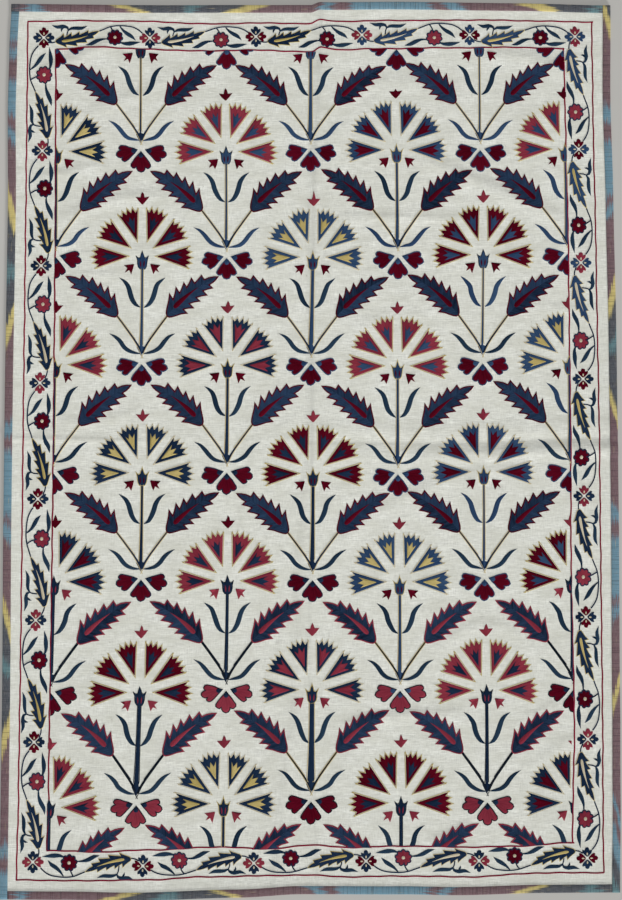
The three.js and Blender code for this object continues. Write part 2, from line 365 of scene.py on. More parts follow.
# Silk yarns: deep shade, light shade
YARNS = {
    "crimson": ((58, 3, 15), (90, 12, 30)),
    "madder": ((100, 8, 34), (134, 26, 55)),
    "rose": ((104, 33, 47), (138, 53, 67)),
    "navy": ((14, 26, 45), (33, 50, 74)),
    "blue": ((30, 49, 80), (54, 77, 106)),
    "teal": ((18, 33, 50), (40, 60, 80)),
    "indigo": ((11, 18, 33), (44, 63, 90)),
    "gold": ((156, 138, 78), (192, 174, 118)),
    "pale_gold": ((168, 150, 106), (196, 182, 144)),
    "cream": ((176, 164, 138), (206, 196, 174)),
    "black": ((12, 18, 27), (30, 38, 48)),
}


def silk(name):
    """Laid silk: fine parallel threads along the stitch, streaked where the dye took unevenly."""
    deep, pale = (tint(*shade) for shade in YARNS[name])
    n = Nodes(f"silk_{name}", 0.6)
    stitch = n.add("ShaderNodeUVMap", {"uv_map": "stitch"}).outputs["UV"]
    thread = n.bands(n.scaled(stitch, (1, 0.02, 1)), "X", THREAD_SCALE, 0.8)
    streak = n.noise(n.scaled(stitch, (420, 22, 1)), 1.0, 3, 0.6)
    patchy = n.noise(n.scaled(stitch, (60, 30, 1)), 1.0, 2)
    dye = n.add("ShaderNodeAttribute", {"attribute_name": "dye"}).outputs["Fac"]
    shade = n.sum((streak, 1.3), (patchy, 0.5), (dye, 0.35), (thread, 0.12))
    colour = n.mixed(n.spread(shade, 0.75, 1.5, 0, 1), deep, pale)
    return n.finish(colour, n.sum((thread, 1), (streak, 1)), 0.6, 0.0003)


# Meshes

def new_bmesh():
    bm = bmesh.new()
    bm.loops.layers.uv.new("stitch")
    bm.verts.layers.float.new("dye")
    return bm


def finished(name, bm, material):
    """The object of a mesh that is already in metres and in its place."""
    mesh = bpy.data.meshes.new(name)
    bm.to_mesh(mesh)
    bm.free()
    mesh.polygons.foreach_set("use_smooth", [True] * len(mesh.polygons))
    mesh.materials.append(material)
    piece = bpy.data.objects.new(name, mesh)
    bpy.context.collection.objects.link(piece)
    return piece


def places_of(mesh):
    """A mesh's vertices as a table."""
    place = np.zeros(len(mesh.vertices) * 3)
    mesh.vertices.foreach_get("co", place)
    return place.reshape(-1, 3)


def set_places(mesh, place):
    """Puts a mesh's vertices at places in millimetres."""
    mesh.vertices.foreach_set("co", (place * MM).ravel())
    mesh.update()


def net(bm, x, y, z, across, along):
    """A net of faces, with a vertex for each entry of the tables and its stitch direction as UV."""
    columns, rows = x.shape
    made = bmesh.ops.create_grid(bm, x_segments=columns - 1, y_segments=rows - 1, size=1)["verts"]
    stitch = bm.loops.layers.uv["stitch"]
    dye = bm.verts.layers.float["dye"]
    shade = random.random()
    where = {}
    for vert in made:
        c = round((vert.co.x + 1) / 2 * (columns - 1))
        r = round((vert.co.y + 1) / 2 * (rows - 1))
        vert.co = (x[c, r], y[c, r], z[c, r])
        vert[dye] = shade
        where[vert] = (across[c, r] * MM, along[c, r] * MM)
    faces = {face for vert in made for face in vert.link_faces}
    facing = 0
    for face in faces:
        face.normal_update()
        facing += face.normal.z * face.calc_area()
        for loop in face.loops:
            loop[stitch].uv = where[loop.vert]
    if facing < 0:
        bmesh.ops.reverse_faces(bm, faces=list(faces))


def patch(bm, starts, ends, lift=LIFT, whole=False, open_start=False):
    """Laid threads, each from a start to an end. The patch's rim comes down to the cloth."""
    starts, ends = np.array(starts, float), np.array(ends, float)
    if not whole:
        first = min(0.45, EDGE / max(EDGE, np.linalg.norm(ends[1] - ends[0])))
        last = min(0.45, EDGE / max(EDGE, np.linalg.norm(ends[-2] - ends[-1])))
        starts, ends = (
            np.vstack([side[:1], [side[0] + (side[1] - side[0]) * first], side[1:-1],
                       [side[-1] + (side[-2] - side[-1]) * last], side[-1:]])
            for side in (starts, ends)
        )
    length = np.linalg.norm(ends - starts, axis=1)
    steps = max(1, math.ceil(length.max() / STEP))
    near = np.minimum(EDGE / np.maximum(length, 0.01), 0.3)[:, None]
    inner = near + (1 - 2 * near) * np.linspace(0, 1, steps + 1)[None, :]
    t = np.hstack([np.zeros_like(near), inner, np.ones_like(near)])
    place = starts[:, None, :] + (ends - starts)[:, None, :] * t[:, :, None]
    z = np.full(t.shape, lift)
    z[:, -1] = -SUNK
    z[:, 0] = lift if open_start else -SUNK
    if not whole:
        z[0] = -SUNK
        z[-1] = -SUNK
    across = travelled((starts + ends) / 2)[:, None] * np.ones_like(t)
    net(bm, place[:, :, 0], place[:, :, 1], z, across, t * length[:, None])


def aside(origin, angle, along, out):
    """A point by how far along a direction it is and how far out to the right of it.

    The direction is in degrees from straight up, turning to the right.
    """
    turn = math.radians(angle)
    ahead_x, ahead_y = math.sin(turn), math.cos(turn)
    return (origin[0] + along * ahead_x + out * ahead_y, origin[1] + along * ahead_y - out * ahead_x)


def polar(origin, angle, radius):
    return aside(origin, angle, radius, 0)


def fan(bm, root, rim, lift=LIFT, blunt=1.2):
    """Threads that spread from a root to a rim. The root is a blunt point."""
    starts = []
    for x, y in rim:
        reach = math.hypot(x - root[0], y - root[1])
        share = blunt / max(reach, blunt * 2)
        starts.append((root[0] + (x - root[0]) * share, root[1] + (y - root[1]) * share))
    patch(bm, starts, rim, lift)


def curve(points, step=STEP):
    """A smooth line through given points."""
    p = np.array(points, float)
    p = np.vstack([2 * p[0] - p[1], p, 2 * p[-1] - p[-2]])
    out = []
    for k in range(1, len(p) - 2):
        count = max(1, math.ceil(np.linalg.norm(p[k + 1, :2] - p[k, :2]) / step))
        for t in np.arange(count) / count:
            out.append(0.5 * (2 * p[k] + (p[k + 1] - p[k - 1]) * t
                              + (2 * p[k - 1] - 5 * p[k] + 4 * p[k + 1] - p[k + 2]) * t**2
                              + (3 * p[k] - p[k - 1] - 3 * p[k + 1] + p[k + 2]) * t**3))
    out.append(p[-2])
    return np.array(out)


def sides(path):
    """The way to the left of each point of a path, longer at its corners."""
    ahead = np.diff(path, axis=0)
    ahead /= np.maximum(np.linalg.norm(ahead, axis=1), 1e-6)[:, None]
    before = np.vstack([ahead[:1], ahead])
    after = np.vstack([ahead, ahead[-1:]])
    if np.allclose(path[0], path[-1]):
        before[0] = after[-1] = ahead[-1]
        after[-1] = ahead[0]
    mean = before + after
    mean /= np.maximum(np.linalg.norm(mean, axis=1), 1e-6)[:, None]
    stretch = 1 / np.maximum((mean * after).sum(axis=1), 0.35)
    return np.stack([-mean[:, 1], mean[:, 0]], axis=1) * stretch[:, None]


# Sections of thread work: place from side to side, and height
BLADE_SECTION = ((-1, 0), (-0.72, 0.9), (0, 1), (0.72, 0.9), (1, 0))
CORD_SECTION = ((-1, 0), (-0.65, 0.85), (0, 1), (0.65, 0.85), (1, 0))


def travelled(path):
    """How far along a path each of its points is."""
    return np.concatenate([[0], np.cumsum(np.linalg.norm(np.diff(path, axis=0), axis=1))])


def sweep(bm, path, half, section, lift, share):
    """A section run along a path, with its half width and its share of the height at each point."""
    left = sides(path)
    side, height = np.array(section, float).T[:, :, None]
    x = path[:, 0] + left[:, 0] * half * side
    y = path[:, 1] + left[:, 1] * half * side
    z = np.where(height > 0, height * lift, -SUNK) * share
    net(bm, x, y, z, half * side, travelled(path)[None, :] * np.ones_like(side))


def blade(bm, points, lift=LIFT, step=STEP):
    """A narrow filled leaf, or a stem: x, y and half width at places along it."""
    spine = curve(points, step)
    path, half = spine[:, :2], np.maximum(spine[:, 2], 0.05)
    sweep(bm, path, half, BLADE_SECTION, lift, np.minimum(1, 0.3 + half))


def cord(bm, points, half, lift=LIFT, smooth_path=False):
    """A couched line of thread through its points. It keeps their corners unless it is smooth."""
    if smooth_path:
        path = curve(points)
    else:
        path = []
        for start, end in zip(points, points[1:]):
            start, end = np.array(start, float), np.array(end, float)
            count = max(1, math.ceil(np.linalg.norm(end - start) / STEP))
            path.extend(start + (end - start) * k / count for k in range(count))
        path = np.array([*path, points[-1]], float)
    full = np.ones(len(path))
    sweep(bm, path, half * full, CORD_SECTION, lift, full)


def disc(bm, centre, inner, rim, lift=LIFT):
    """Threads from a small ring to a closed rim round it."""
    starts = []
    for x, y in rim:
        share = inner / math.hypot(x - centre[0], y - centre[1])
        starts.append((centre[0] + (x - centre[0]) * share, centre[1] + (y - centre[1]) * share))
    patch(bm, starts, rim, lift, whole=True, open_start=True)


# Parts of the flower. Places are from the foot of its stem, in a unit that is later set on the cloth.

def unsteady(value, amount):
    """A value with the small error of a hand."""
    return value + random.uniform(-amount, amount)


def shaky(points, amount):
    return [(unsteady(x, amount), unsteady(y, amount), *rest) for x, y, *rest in points]


TEETH = [(-19, 0.955), (-9.5, 0.985), (0, 1), (9.5, 0.985), (19, 0.945)]
NOTCHES = [(-14.3, 0.85), (-4.8, 0.85), (4.8, 0.85), (14.3, 0.85)]
PETAL_HEART = [(-13.2, 0.81), (-6.1, 0.655), (0.5, 0.82), (6.6, 0.645), (13.2, 0.78)]
PETALS = [((15.7, 287.5), 17.7, 81), ((33.2, 270.8), 54, 85), ((38.7, 247.8), 91.5, 87)]


def carnation_petal(layers, apex, lean, length, heart, line):
    """A toothed petal with a three pointed heart, and a fine outline with a spike past each tooth.

    heart is the heart's size beside the usual, and line is half the outline's width.
    """
    lean, length = unsteady(lean, 0.4), unsteady(length, 0.8)
    teeth = [(lean + unsteady(turn, 0.4), length * unsteady(reach, 0.012)) for turn, reach in TEETH]
    notches = [(lean + unsteady(turn, 0.3), length * unsteady(reach, 0.008)) for turn, reach in NOTCHES]
    rim = [polar(apex, *teeth[0])]
    outline = [polar(apex, lean, -4.5), polar(apex, teeth[0][0] - 1.2, teeth[0][1] + 2)]
    for notch, tooth in zip(notches, teeth[1:]):
        rim += [polar(apex, *notch), polar(apex, *tooth)]
        outline += [polar(apex, notch[0], notch[1] + 2.2), polar(apex, tooth[0], tooth[1] + 2.6)]
    outline[-1] = polar(apex, teeth[-1][0] + 1.2, teeth[-1][1] + 2)
    outline.append(outline[0])
    fan(layers["petal"], apex, rim)
    inner = [polar(apex, lean + turn * heart, length * reach * heart) for turn, reach in PETAL_HEART]
    root = polar(apex, lean, length * (0.69 - 0.5 * heart))
    fan(layers["petal_heart"], root, shaky(inner, 0.6), LIFT + 0.25)
    cord(layers["petal_outline"], outline, line, 0.6)
    for turn, reach in teeth:
        base, tip = polar(apex, turn, reach + 1), polar(apex, turn, reach + 6.5)
        blade(layers["petal_outline"], [(*base, line * 1.3), (*tip, 0.15)], 0.6)


RIB = [(0, 0.45), (0.05, 0.85), (0.15, 1), (0.41, 0.8), (0.66, 0.45), (0.84, 0.24), (1, 0.05)]


def toothed_leaf(layers, names, base, tip, bow, start, teeth, rib, line):
    """A leaf with forward teeth.

    start gives its edge from the stalk to the first tooth, as how far along and how far out. teeth gives,
    for each side, how far along a tooth's tip is, how far out it is, and how wide the leaf is just past it.
    """
    fill, rib_name, edge = names
    base, tip = np.array(base, float), np.array(tip, float)
    length = np.linalg.norm(tip - base)
    ahead = (tip - base) / length
    upward = np.array([-ahead[1], ahead[0]])

    def place(along, out):
        t = along / length
        return tuple(base + ahead * along + upward * (bow * 4 * t * (1 - t) + out))

    whole_rim = []
    for side, rows in zip((1, -1), teeth):
        rim = list(start)
        for at, reach, half in rows:
            at, reach = unsteady(at, length * 0.005), unsteady(reach, length * 0.005)
            before, width = rim[-1]
            rim.append(((before + at) / 2, width + (reach - width) * 0.42))
            rim += [(at, reach), (at - length * 0.01, half)]
        before, width = rim[-1]
        left = length - before
        rim += [(before + left * 0.4, width * 0.9), (before + left * 0.75, width * 0.5), (length, 0)]
        starts = [place(min(max(along - out * 0.75, 0.3 * k), length * 0.985), 0)
                  for k, (along, out) in enumerate(rim)]
        ends = [place(along, side * out) for along, out in rim]
        patch(layers[fill], starts, ends, open_start=True)
        whole_rim += ends if side > 0 else ends[::-1][1:]
    cord(layers[edge], whole_rim + [whole_rim[0]], line, LIFT + 0.15)
    low, high, widest = rib
    spine = [(*place(length * (low + (high - low) * t), 0), widest * width) for t, width in RIB]
    blade(layers[rib_name], spine, LIFT + 0.35, step=5)


SAZ_START = [(0, 0.8), (2.5, 6), (8, 10.5), (17, 16)]
SAZ_TEETH = (
    [(37, 31, 15.2), (60, 32, 16.2), (82, 29, 15.8), (105, 27, 13), (128, 21, 8.5)],
    [(43, 32, 18.4), (62.5, 32, 18.2), (85, 30, 17.5), (108.5, 27, 13), (130.5, 19.5, 8)],
)


def side_parts(layers, petal_look, slim):
    """All that stands to the right of a stem. slim is the leaf's width beside the usual."""
    if petal_look:
        for apex, lean, length in PETALS:
            carnation_petal(layers, apex, lean, length, *petal_look)
    names = ("leaf", "leaf_rib", "leaf_outline")
    start = [(along, out * slim) for along, out in SAZ_START]
    teeth = [[(along, out * slim, half * slim) for along, out, half in rows] for rows in SAZ_TEETH]
    if slim < 1:
        teeth[0] = teeth[0][1:]
    rib = (0.165, 0.66, 7.4 if slim == 1 else 9)
    toothed_leaf(layers, names, (64, 100.5), (188.5, 197.4), 10, start, teeth, rib, 1.9)
    upper = [(7, 121, 0.8), (18, 128, 4.6), (26.5, 141, 6.2), (31.5, 155, 6.6), (35.5, 169.5, 6.2),
             (41.5, 180.5, 5.2), (50, 189, 3), (59.5, 195.5, 0.1)]
    lower = [(7, 8, 1), (20.5, 10, 3.5), (35.5, 15, 5.1), (47, 24.5, 5.7), (57, 38, 5.5), (69, 49.5, 3.7),
             (84, 57.5, 0.1)]
    blade(layers["upper_leaf"], shaky(upper, 0.7))
    blade(layers["lower_leaf"], shaky(lower, 0.7))
    stalk = [(64.5, 101, 1.5), (48, 79, 1.7), (32, 57, 1.9), (20.5, 41, 2.1), (10, 24, 2.4), (3, 9, 2.6)]
    blade(layers["stalk"], stalk)
    outer = [(x + (half + 0.7) * 0.83, y - (half + 0.7) * 0.56) for x, y, half in stalk]
    inner = [(x - (half + 0.7) * 0.83, y + (half + 0.7) * 0.56) for x, y, half in stalk[:-2]]
    cord(layers["stem_outline"], [*outer, (0.2, -3.5)], 0.9, 0.6, smooth_path=True)
    cord(layers["stem_outline"], inner, 0.9, 0.6, smooth_path=True)
    prongs = [(33, 227.5), (48, 226), (39.8, 218), (45.2, 207.5), (35.5, 213), (29.5, 202.5), (25.5, 215)]
    fan(layers["bud"], (22, 229.5), shaky(prongs, 0.8))
    small_flower(layers, (13.2, -15.6), 105, 53, 0.82)


SMALL_FLOWER = [(8, 7), (16, 13.5), (24, 19.5), (31, 23.8), (36, 24.3), (40.5, 20), (41, 15.5), (38, 10.8),
                (43.5, 10), (48.5, 6.5)]


CAP = [(-37, 11), (-20, 14.5), (0, 16), (20, 14.5), (37, 11)]


def small_flower(layers, apex, lean, length, spread):
    """A small flower of three lobes with a blue cap where it starts."""
    size = length / 51
    half = [(along * size, out * size * spread) for along, out in SMALL_FLOWER]
    edge = [(along, -out) for along, out in half] + [(length, 0)] + half[::-1]
    rim = [aside(apex, lean, along, out) for along, out in shaky(edge, 0.6)]
    fan(layers["small_flower"], apex, rim)
    cord(layers["small_outline"], [apex, *rim, apex], 1.55, 0.7)
    cap = [polar(apex, lean + turn, reach) for turn, reach in CAP]
    fan(layers["cap"], apex, cap, LIFT + 0.3)


def middle_parts(layers, star_height, width, spiked):
    """The stem, calyx, star bud and lowest small flower. width is how thick the stem is beside the usual."""
    stem = [(0, 2.5, 0.4), (0, 9, 4)]
    stem += [(x, y, half * width) for x, y, half in
             ((0.2, 20, 4.2), (0.5, 36, 3.8), (1.4, 80, 3.2), (2.2, 150, 2.6), (2.6, 219, 2.5))]
    blade(layers["stem"], stem)
    fan(layers["stem"], (0, 1.5), [(-11.5, 24.5), (-6, 26), (0, 28), (6, 26), (11.5, 24.5)], LIFT - 0.15)
    for side in (-1, 1):
        line = [(x + side * (half + 0.7), y) for x, y, half in stem[3:]]
        cord(layers["stem_outline"], [(side * 5, 29), *line], 0.95, 0.6, smooth_path=True)
    foot = (2.6, 215)
    half = [(6, 1.2), (9.4, 7), (10.8, 15), (11.4, 24), (14, 33), (8.6, 28.5), (4.8, 30), (2.8, 37)]
    cup = [(-x, y) for x, y in half] + [(0, 45)] + half[::-1]
    rim = [(foot[0] + x, foot[1] + y) for x, y in shaky(cup, 0.5)]
    fan(layers["calyx"], foot, rim)
    edge = [(foot[0] + (x - foot[0]) * 1.08, y + 0.6) for x, y in (foot, *rim, foot)]
    cord(layers["calyx_outline"], edge, 0.95, 0.6)
    for x, y, lean in ((-14, 33, -42), (0, 45, 0), (14, 33, 42)):
        base = (foot[0] + x, foot[1] + y)
        tip = polar(base, lean, 6 if spiked else 2.5)
        blade(layers["calyx_outline"], [(*base, 1.2), (*tip, 0.1)], 0.6)
    for side in (-1, 1):
        drop = [(foot[0] + side * out, foot[1] + up, wide) for out, up, wide in
                ((4, 7, 0.9), (4.4, 15, 2.1), (5.4, 23, 0.3))]
        blade(layers["calyx_mark"], drop, LIFT + 0.35)
    points = [(-10, 9.5), (-17.5, 19), (-5.2, 18.6), (-3, 27), (0, star_height), (3.6, 27), (5.6, 19.5),
              (17, 20.5), (9.5, 10.5)]
    if star_height < 30:
        points[3], points[5] = (-2.5, 21.5), (2.8, 21.5)
    fan(layers["star"], (3, 375.5), [(3 + x, 375.5 + y) for x, y in shaky(points, 0.7)])
    small_flower(layers, (1.5, -20.6), 181, 51, 1)


ROLES = ("petal", "petal_heart", "petal_outline", "leaf", "leaf_rib", "leaf_outline", "upper_leaf",
         "lower_leaf", "stalk", "stem", "stem_outline", "calyx", "calyx_outline", "calyx_mark", "bud", "star",
         "small_flower", "small_outline", "cap")

# The flowers: foot of the stem, place of the calyx, how thick the stem is beside the usual, and the yarns of
# the petals, their hearts, the calyx, its outline, the buds, the star and the small flowers. The petals of
# the two top rows would be past the red line, so these rows have none.
FLOWERS = [
    (-637, 1002, -637, 1234, 1, "- - blue gold crimson crimson crimson"),
    (-214, 1002, -214, 1234, 1, "- - blue gold crimson crimson crimson"),
    (210, 1002, 210, 1234, 1, "- - blue gold crimson crimson crimson"),
    (628, 1002, 628, 1234, 1, "- - blue gold crimson crimson crimson"),
    (-426, 741, -429, 973, 0.6, "- - navy navy crimson crimson crimson"),
    (-5, 744, -6, 973, 1.4, "- - blue navy crimson crimson crimson"),
    (418, 747, 416, 982, 0.6, "- - blue navy crimson crimson crimson"),
    (-634, 475, -636, 705, 1, "navy gold navy gold crimson crimson crimson"),
    (-213, 474, -216, 706, 0.8, "rose blue blue black crimson crimson crimson"),
    (211, 477, 208, 712, 1.1, "blue crimson blue gold crimson crimson crimson"),
    (633, 486, 629, 716, 1, "rose blue blue gold crimson crimson crimson"),
    (-421, 210, -422, 443, 1.0, "crimson navy blue black crimson crimson crimson"),
    (-4, 211, -1, 442, 1.5, "blue gold blue gold crimson rose crimson"),
    (420, 213, 422, 449, 0.7, "crimson blue blue black crimson rose crimson"),
    (-635, -57, -634, 174, 1, "rose navy navy gold crimson crimson crimson"),
    (-211, -57, -211, 174, 1.2, "navy rose navy gold crimson rose crimson"),
    (209, -61, 208, 172, 1.1, "rose blue blue gold crimson rose crimson"),
    (634, -51, 633, 184, 1, "blue gold blue gold crimson rose crimson"),
    (-419, -318, -419, -91, 1.1, "navy gold navy gold crimson rose crimson"),
    (-1, -320, -1, -93, 1.5, "crimson navy navy gold crimson rose crimson"),
    (420, -318, 419, -89, 0.8, "blue crimson blue gold crimson rose crimson"),
    (-635, -590, -632, -356, 1, "navy crimson navy black rose crimson crimson"),
    (-211, -586, -210, -355, 0.9, "rose navy navy black rose crimson rose"),
    (212, -588, 211, -358, 1.2, "blue gold blue gold crimson rose rose"),
    (635, -587, 633, -354, 0.9, "crimson blue navy black rose rose crimson"),
    (-427, -859, -422, -624, 1.6, "crimson navy navy black rose rose rose"),
    (-5, -853, -4, -619, 2.4, "navy rose navy gold rose rose crimson"),
    (423, -857, 422, -622, 1.0, "rose navy navy black rose rose rose"),
    (-639, -1124, -638, -891, 1.2, "rose navy navy black rose rose rose"),
    (-219, -1124, -218, -889, 1.2, "navy gold navy gold rose rose rose"),
    (212, -1126, 212, -890, 1.2, "crimson navy navy black rose rose rose"),
    (635, -1124, 636, -891, 1.2, "navy crimson navy black rose rose rose"),
]
# The calyx's place over the foot, how far the stem leans over that height, and how far aside the leaves reach
HEAD = 232
STEM_LEAN = 5
LEAF_REACH = 125
# The star buds, with those that are taller or shorter than the others by the place of the stem's foot
STAR_HEIGHT = 33
STAR_HEIGHTS = {-4: 40, 211: 25}
# Feet of the rows that the red line cuts off, above the first place and below the second
TOP_ROW = 900
BOTTOM_ROW = -1000

# The red lines: place along the cloth, and where the line lies across
LINE_HALF_WIDTH = 2.1
LINE_STEPS = 260
LINES = {
    "outer": {
        "top": [(-708, 1048), (-589, 1051), (-403, 1050), (-278, 1045), (-104, 1048), (-6, 1047), (22, 1057),
                (70, 1053.5), (220, 1057), (423, 1059), (706, 1056)],
        "bottom": [(-713, -1053), (-570, -1056), (-390, -1055), (-270, -1049), (-18, -1046), (90, -1051),
                   (212, -1050), (382, -1053), (552, -1045), (706, -1045)],
        "left": [(-1053, -712), (-870, -709), (-400, -707.5), (100, -707.5), (600, -707), (1048, -707)],
        "right": [(-1045, 705.5), (-600, 708), (0, 708.5), (500, 706), (800, 703), (1056, 702.5)],
    },
    "inner": {
        "top": [(-636, 978), (-534, 985), (-427, 980), (-276, 976), (-153, 979), (0, 975.5), (23, 987),
                (71, 981), (146, 984), (322, 987.5), (510, 990), (633, 987)],
        "bottom": [(-640, -984), (-511, -988), (-391, -984), (-217, -978), (-114, -983.5), (-5, -975),
                   (92, -981), (213, -978.5), (382, -982), (480, -981), (635, -973)],
        "left": [(-984, -640), (-900, -636), (-800, -637), (-400, -634.5), (0, -633.5), (500, -634),
                 (800, -636), (978, -637)],
        "right": [(-973, 631), (-679, 638.5), (-290, 635), (5, 637.5), (528, 637), (730, 634), (989, 631)],
    },
}


def line_at(frame_name, side, along):
    return float(eased(LINES[frame_name][side], np.array(float(along))))


def set_out(target, bm, matrix, mirrored, dye_shift, cuts=()):
    """Moves a part's shapes into a yarn's mesh, placed by a matrix and cut off along the red lines."""
    bmesh.ops.transform(bm, matrix=matrix, verts=bm.verts)
    if mirrored:
        bmesh.ops.reverse_faces(bm, faces=bm.faces)
    for point, outward in cuts:
        geometry = [*bm.verts, *bm.edges, *bm.faces]
        bmesh.ops.bisect_plane(bm, geom=geometry, plane_co=point, plane_no=outward, clear_outer=True)
    dye = bm.verts.layers.float["dye"]
    for vert in bm.verts:
        vert[dye] = (vert[dye] + dye_shift) % 1
    scratch = bpy.data.meshes.new("scratch")
    bm.to_mesh(scratch)
    bm.free()
    target.from_mesh(scratch)
    bpy.data.meshes.remove(scratch)


def field_cuts(x, y):
    """The planes of the inner red line near a flower."""
    cuts = []
    if abs(x) > 400:
        side = "right" if x > 0 else "left"
        at = line_at("inner", side, y + 130)
        cuts.append(((at, 0, 0), (math.copysign(1, x), 0, 0)))
    for end, near, out in (("top", y > 500, 1), ("bottom", y < -900, -1)):
        if near:
            slope = (line_at("inner", end, x + 60) - line_at("inner", end, x - 60)) / 120
            cuts.append(((x, line_at("inner", end, x), 0), (-slope * out, out, 0)))
    return cuts


def yarns_of(x, foot, petals, hearts, dark, lead, buds, star, small):
    """The yarn of each part of a flower."""
    low = foot < -500
    red = "rose" if low else "crimson"
    line = "black" if lead == "black" and low else "pale_gold"
    return {
        "petal": petals, "petal_heart": hearts,
        "petal_outline": "gold" if petals in ("crimson", "rose") else "pale_gold",
        "leaf": "indigo", "leaf_rib": red, "leaf_outline": red,
        "upper_leaf": "blue" if dark == "blue" and x > 300 and foot < 600 else "teal",
        "lower_leaf": "blue" if foot > 400 else "teal",
        "stalk": "black" if low else "navy", "stem": dark, "stem_outline": line,
        "calyx": dark, "calyx_outline": lead, "calyx_mark": buds, "bud": buds, "star": star,
        "small_flower": small, "small_outline": "black" if low else dark, "cap": dark,
    }


def embroider_field(yarns):
    for x, foot, head_x, head_y, width, names in FLOWERS:
        petals, hearts, _, lead, *_ = names.split()
        lean = Matrix.Identity(4)
        lean[0][1] = (head_x - x) / HEAD
        lean[1][1] = (head_y - foot) / HEAD
        place = Matrix.Translation((x, foot, 0)) @ lean
        out = Matrix.Identity(4)
        if foot > TOP_ROW:
            out = Matrix.Translation((5, 9, 0))
        elif foot < BOTTOM_ROW and x < -400:
            out = Matrix.Translation((0, -7, 0)) @ Matrix.Diagonal((0.965, 1, 1, 1))
        elif foot < BOTTOM_ROW:
            out = Matrix.Translation((0, -2, 0))
        slim = 0.88 if foot < BOTTOM_ROW else 1
        petal_look = (0.94 if hearts == "gold" else 1, 0.65)
        if petals in ("crimson", "rose"):
            petal_look = (0.93, 0.95)
        mirror = place @ Matrix.Translation((STEM_LEAN, 0, 0)) @ Matrix.Scale(-1, 4, (1, 0, 0)) @ out
        shift = random.random()
        yarn = yarns_of(x, foot, *names.split())
        for matrix, side in ((place, 0), (place @ out, 1), (mirror, -1)):
            layers = {role: new_bmesh() for role in ROLES}
            if side == 0:
                middle_parts(layers, STAR_HEIGHTS.get(x, STAR_HEIGHT), width, lead == "gold")
            else:
                side_parts(layers, None if petals == "-" else petal_look, slim)
            for role in ROLES:
                if layers[role].verts:
                    # a cut follows the line beside the part that it trims
                    reach = side * LEAF_REACH / (1 if role.startswith("leaf") else 3)
                    cuts = field_cuts(x + reach, foot)
                    set_out(yarns[yarn[role]], layers[role], matrix, side < 0, shift, cuts)


# The border between the red lines

# The four petalled flowers in the order of the run along each side
QUATREFOILS = {
    "top": [(-667, 1007), (-404, 1008), (-140, 1013), (125, 1019), (395, 1021), (660, 1018)],
    "right": [(660, 1018), (666, 732), (668, 446), (670, 156), (669, -133), (670, -429), (671, -725),
              (666, -1010)],
    "bottom": [(666, -1010), (403, -1015), (129, -1014), (-142, -1017), (-409, -1022), (-673, -1011)],
    "left": [(-673, -1011), (-673, -726), (-672, -433), (-670, -139), (-668, 145), (-668, 435), (-668, 722),
             (-667, 1007)],
}
# For each run between two of them: how far out from their line the rosette stands, and how much further out
# than usual the vine and the leaf's foot are
RUNS = {
    "top": [(1.5, 7.5, 6.5), (-6.5, 2.5, 4.5), (-9, 1, 3.5), (-7, 6, 1), (-4, 2.5, 0)],
    "right": [(-5, 5, 0.5), (-4, 6, -1), (-4, 7, 0), (-6, 6, -1), (-5, 8.5, 3), (-5.5, 6.5, 0),
              (-5, 6.5, -1)],
    "bottom": [(-10, 1, -2), (-8, 3.5, -1), (-10, 0, 1), (-11, 0, -1), (-1.5, 9.5, 0)],
    "left": [(-8, 5.5, 3), (-9.5, 7, 0), (-11, 3.5, -4.5), (-7, 5.5, -1.5), (-5.5, 7.5, -1.5), (-7, 7.5, -1),
             (-2, 10.5, 4)],
}
BORDER_PITCH = 264


def border_flower(layers):
    """Four petals round a point: two red ones that lie along the border and two dark ones across it."""
    half = [(49, 10), (46, 15.5), (40, 19.8), (32, 21.4), (24, 18.4), (18.5, 18), (14, 21.5), (7, 23.8)]
    rim = [(-turn, reach) for turn, reach in half] + [(0, 24.2)] + half[::-1]
    for quarter, name in enumerate(("flower_dark", "flower_red", "flower_dark", "flower_red")):
        lean = quarter * 90
        root = polar((0, 0), lean, 2.4)
        fan(layers[name], root, [polar(root, lean + turn, unsteady(reach, 0.5)) for turn, reach in rim])
        near, far = polar(root, lean, 4.5), polar(root, lean, 11)
        blade(layers["dot"], [(*near, 0.8), (*polar(root, lean, 8), 2.5), (*far, 1.2)], LIFT + 0.35, step=3)


def rosette(layers, centre):
    lobes, steps = 9, 54
    rim = []
    for k in range(steps + 1):
        angle = 360 * k / steps
        rim.append(polar(centre, angle, 15.4 + 4 * abs(math.sin(math.radians(angle * lobes / 2)))))
    disc(layers["rosette"], centre, 4, rim)
    cord(layers["vine"], rim, 1.8, LIFT + 0.1)
    ring = [polar(centre, 360 * k / 12, 3.9) for k in range(13)]
    disc(layers["dot"], centre, 0.3, ring, LIFT + 0.4)


BORDER_START = [(0, 1.2), (2.5, 5.2), (8, 8)]
BORDER_TEETH = (
    [(25, 19, 9.5), (44, 18.5, 10), (64, 16, 9), (86, 12.5, 6)],
    [(24, 17.5, 9.5), (51, 18, 9.8), (76, 16, 8), (95, 11.5, 5)],
)


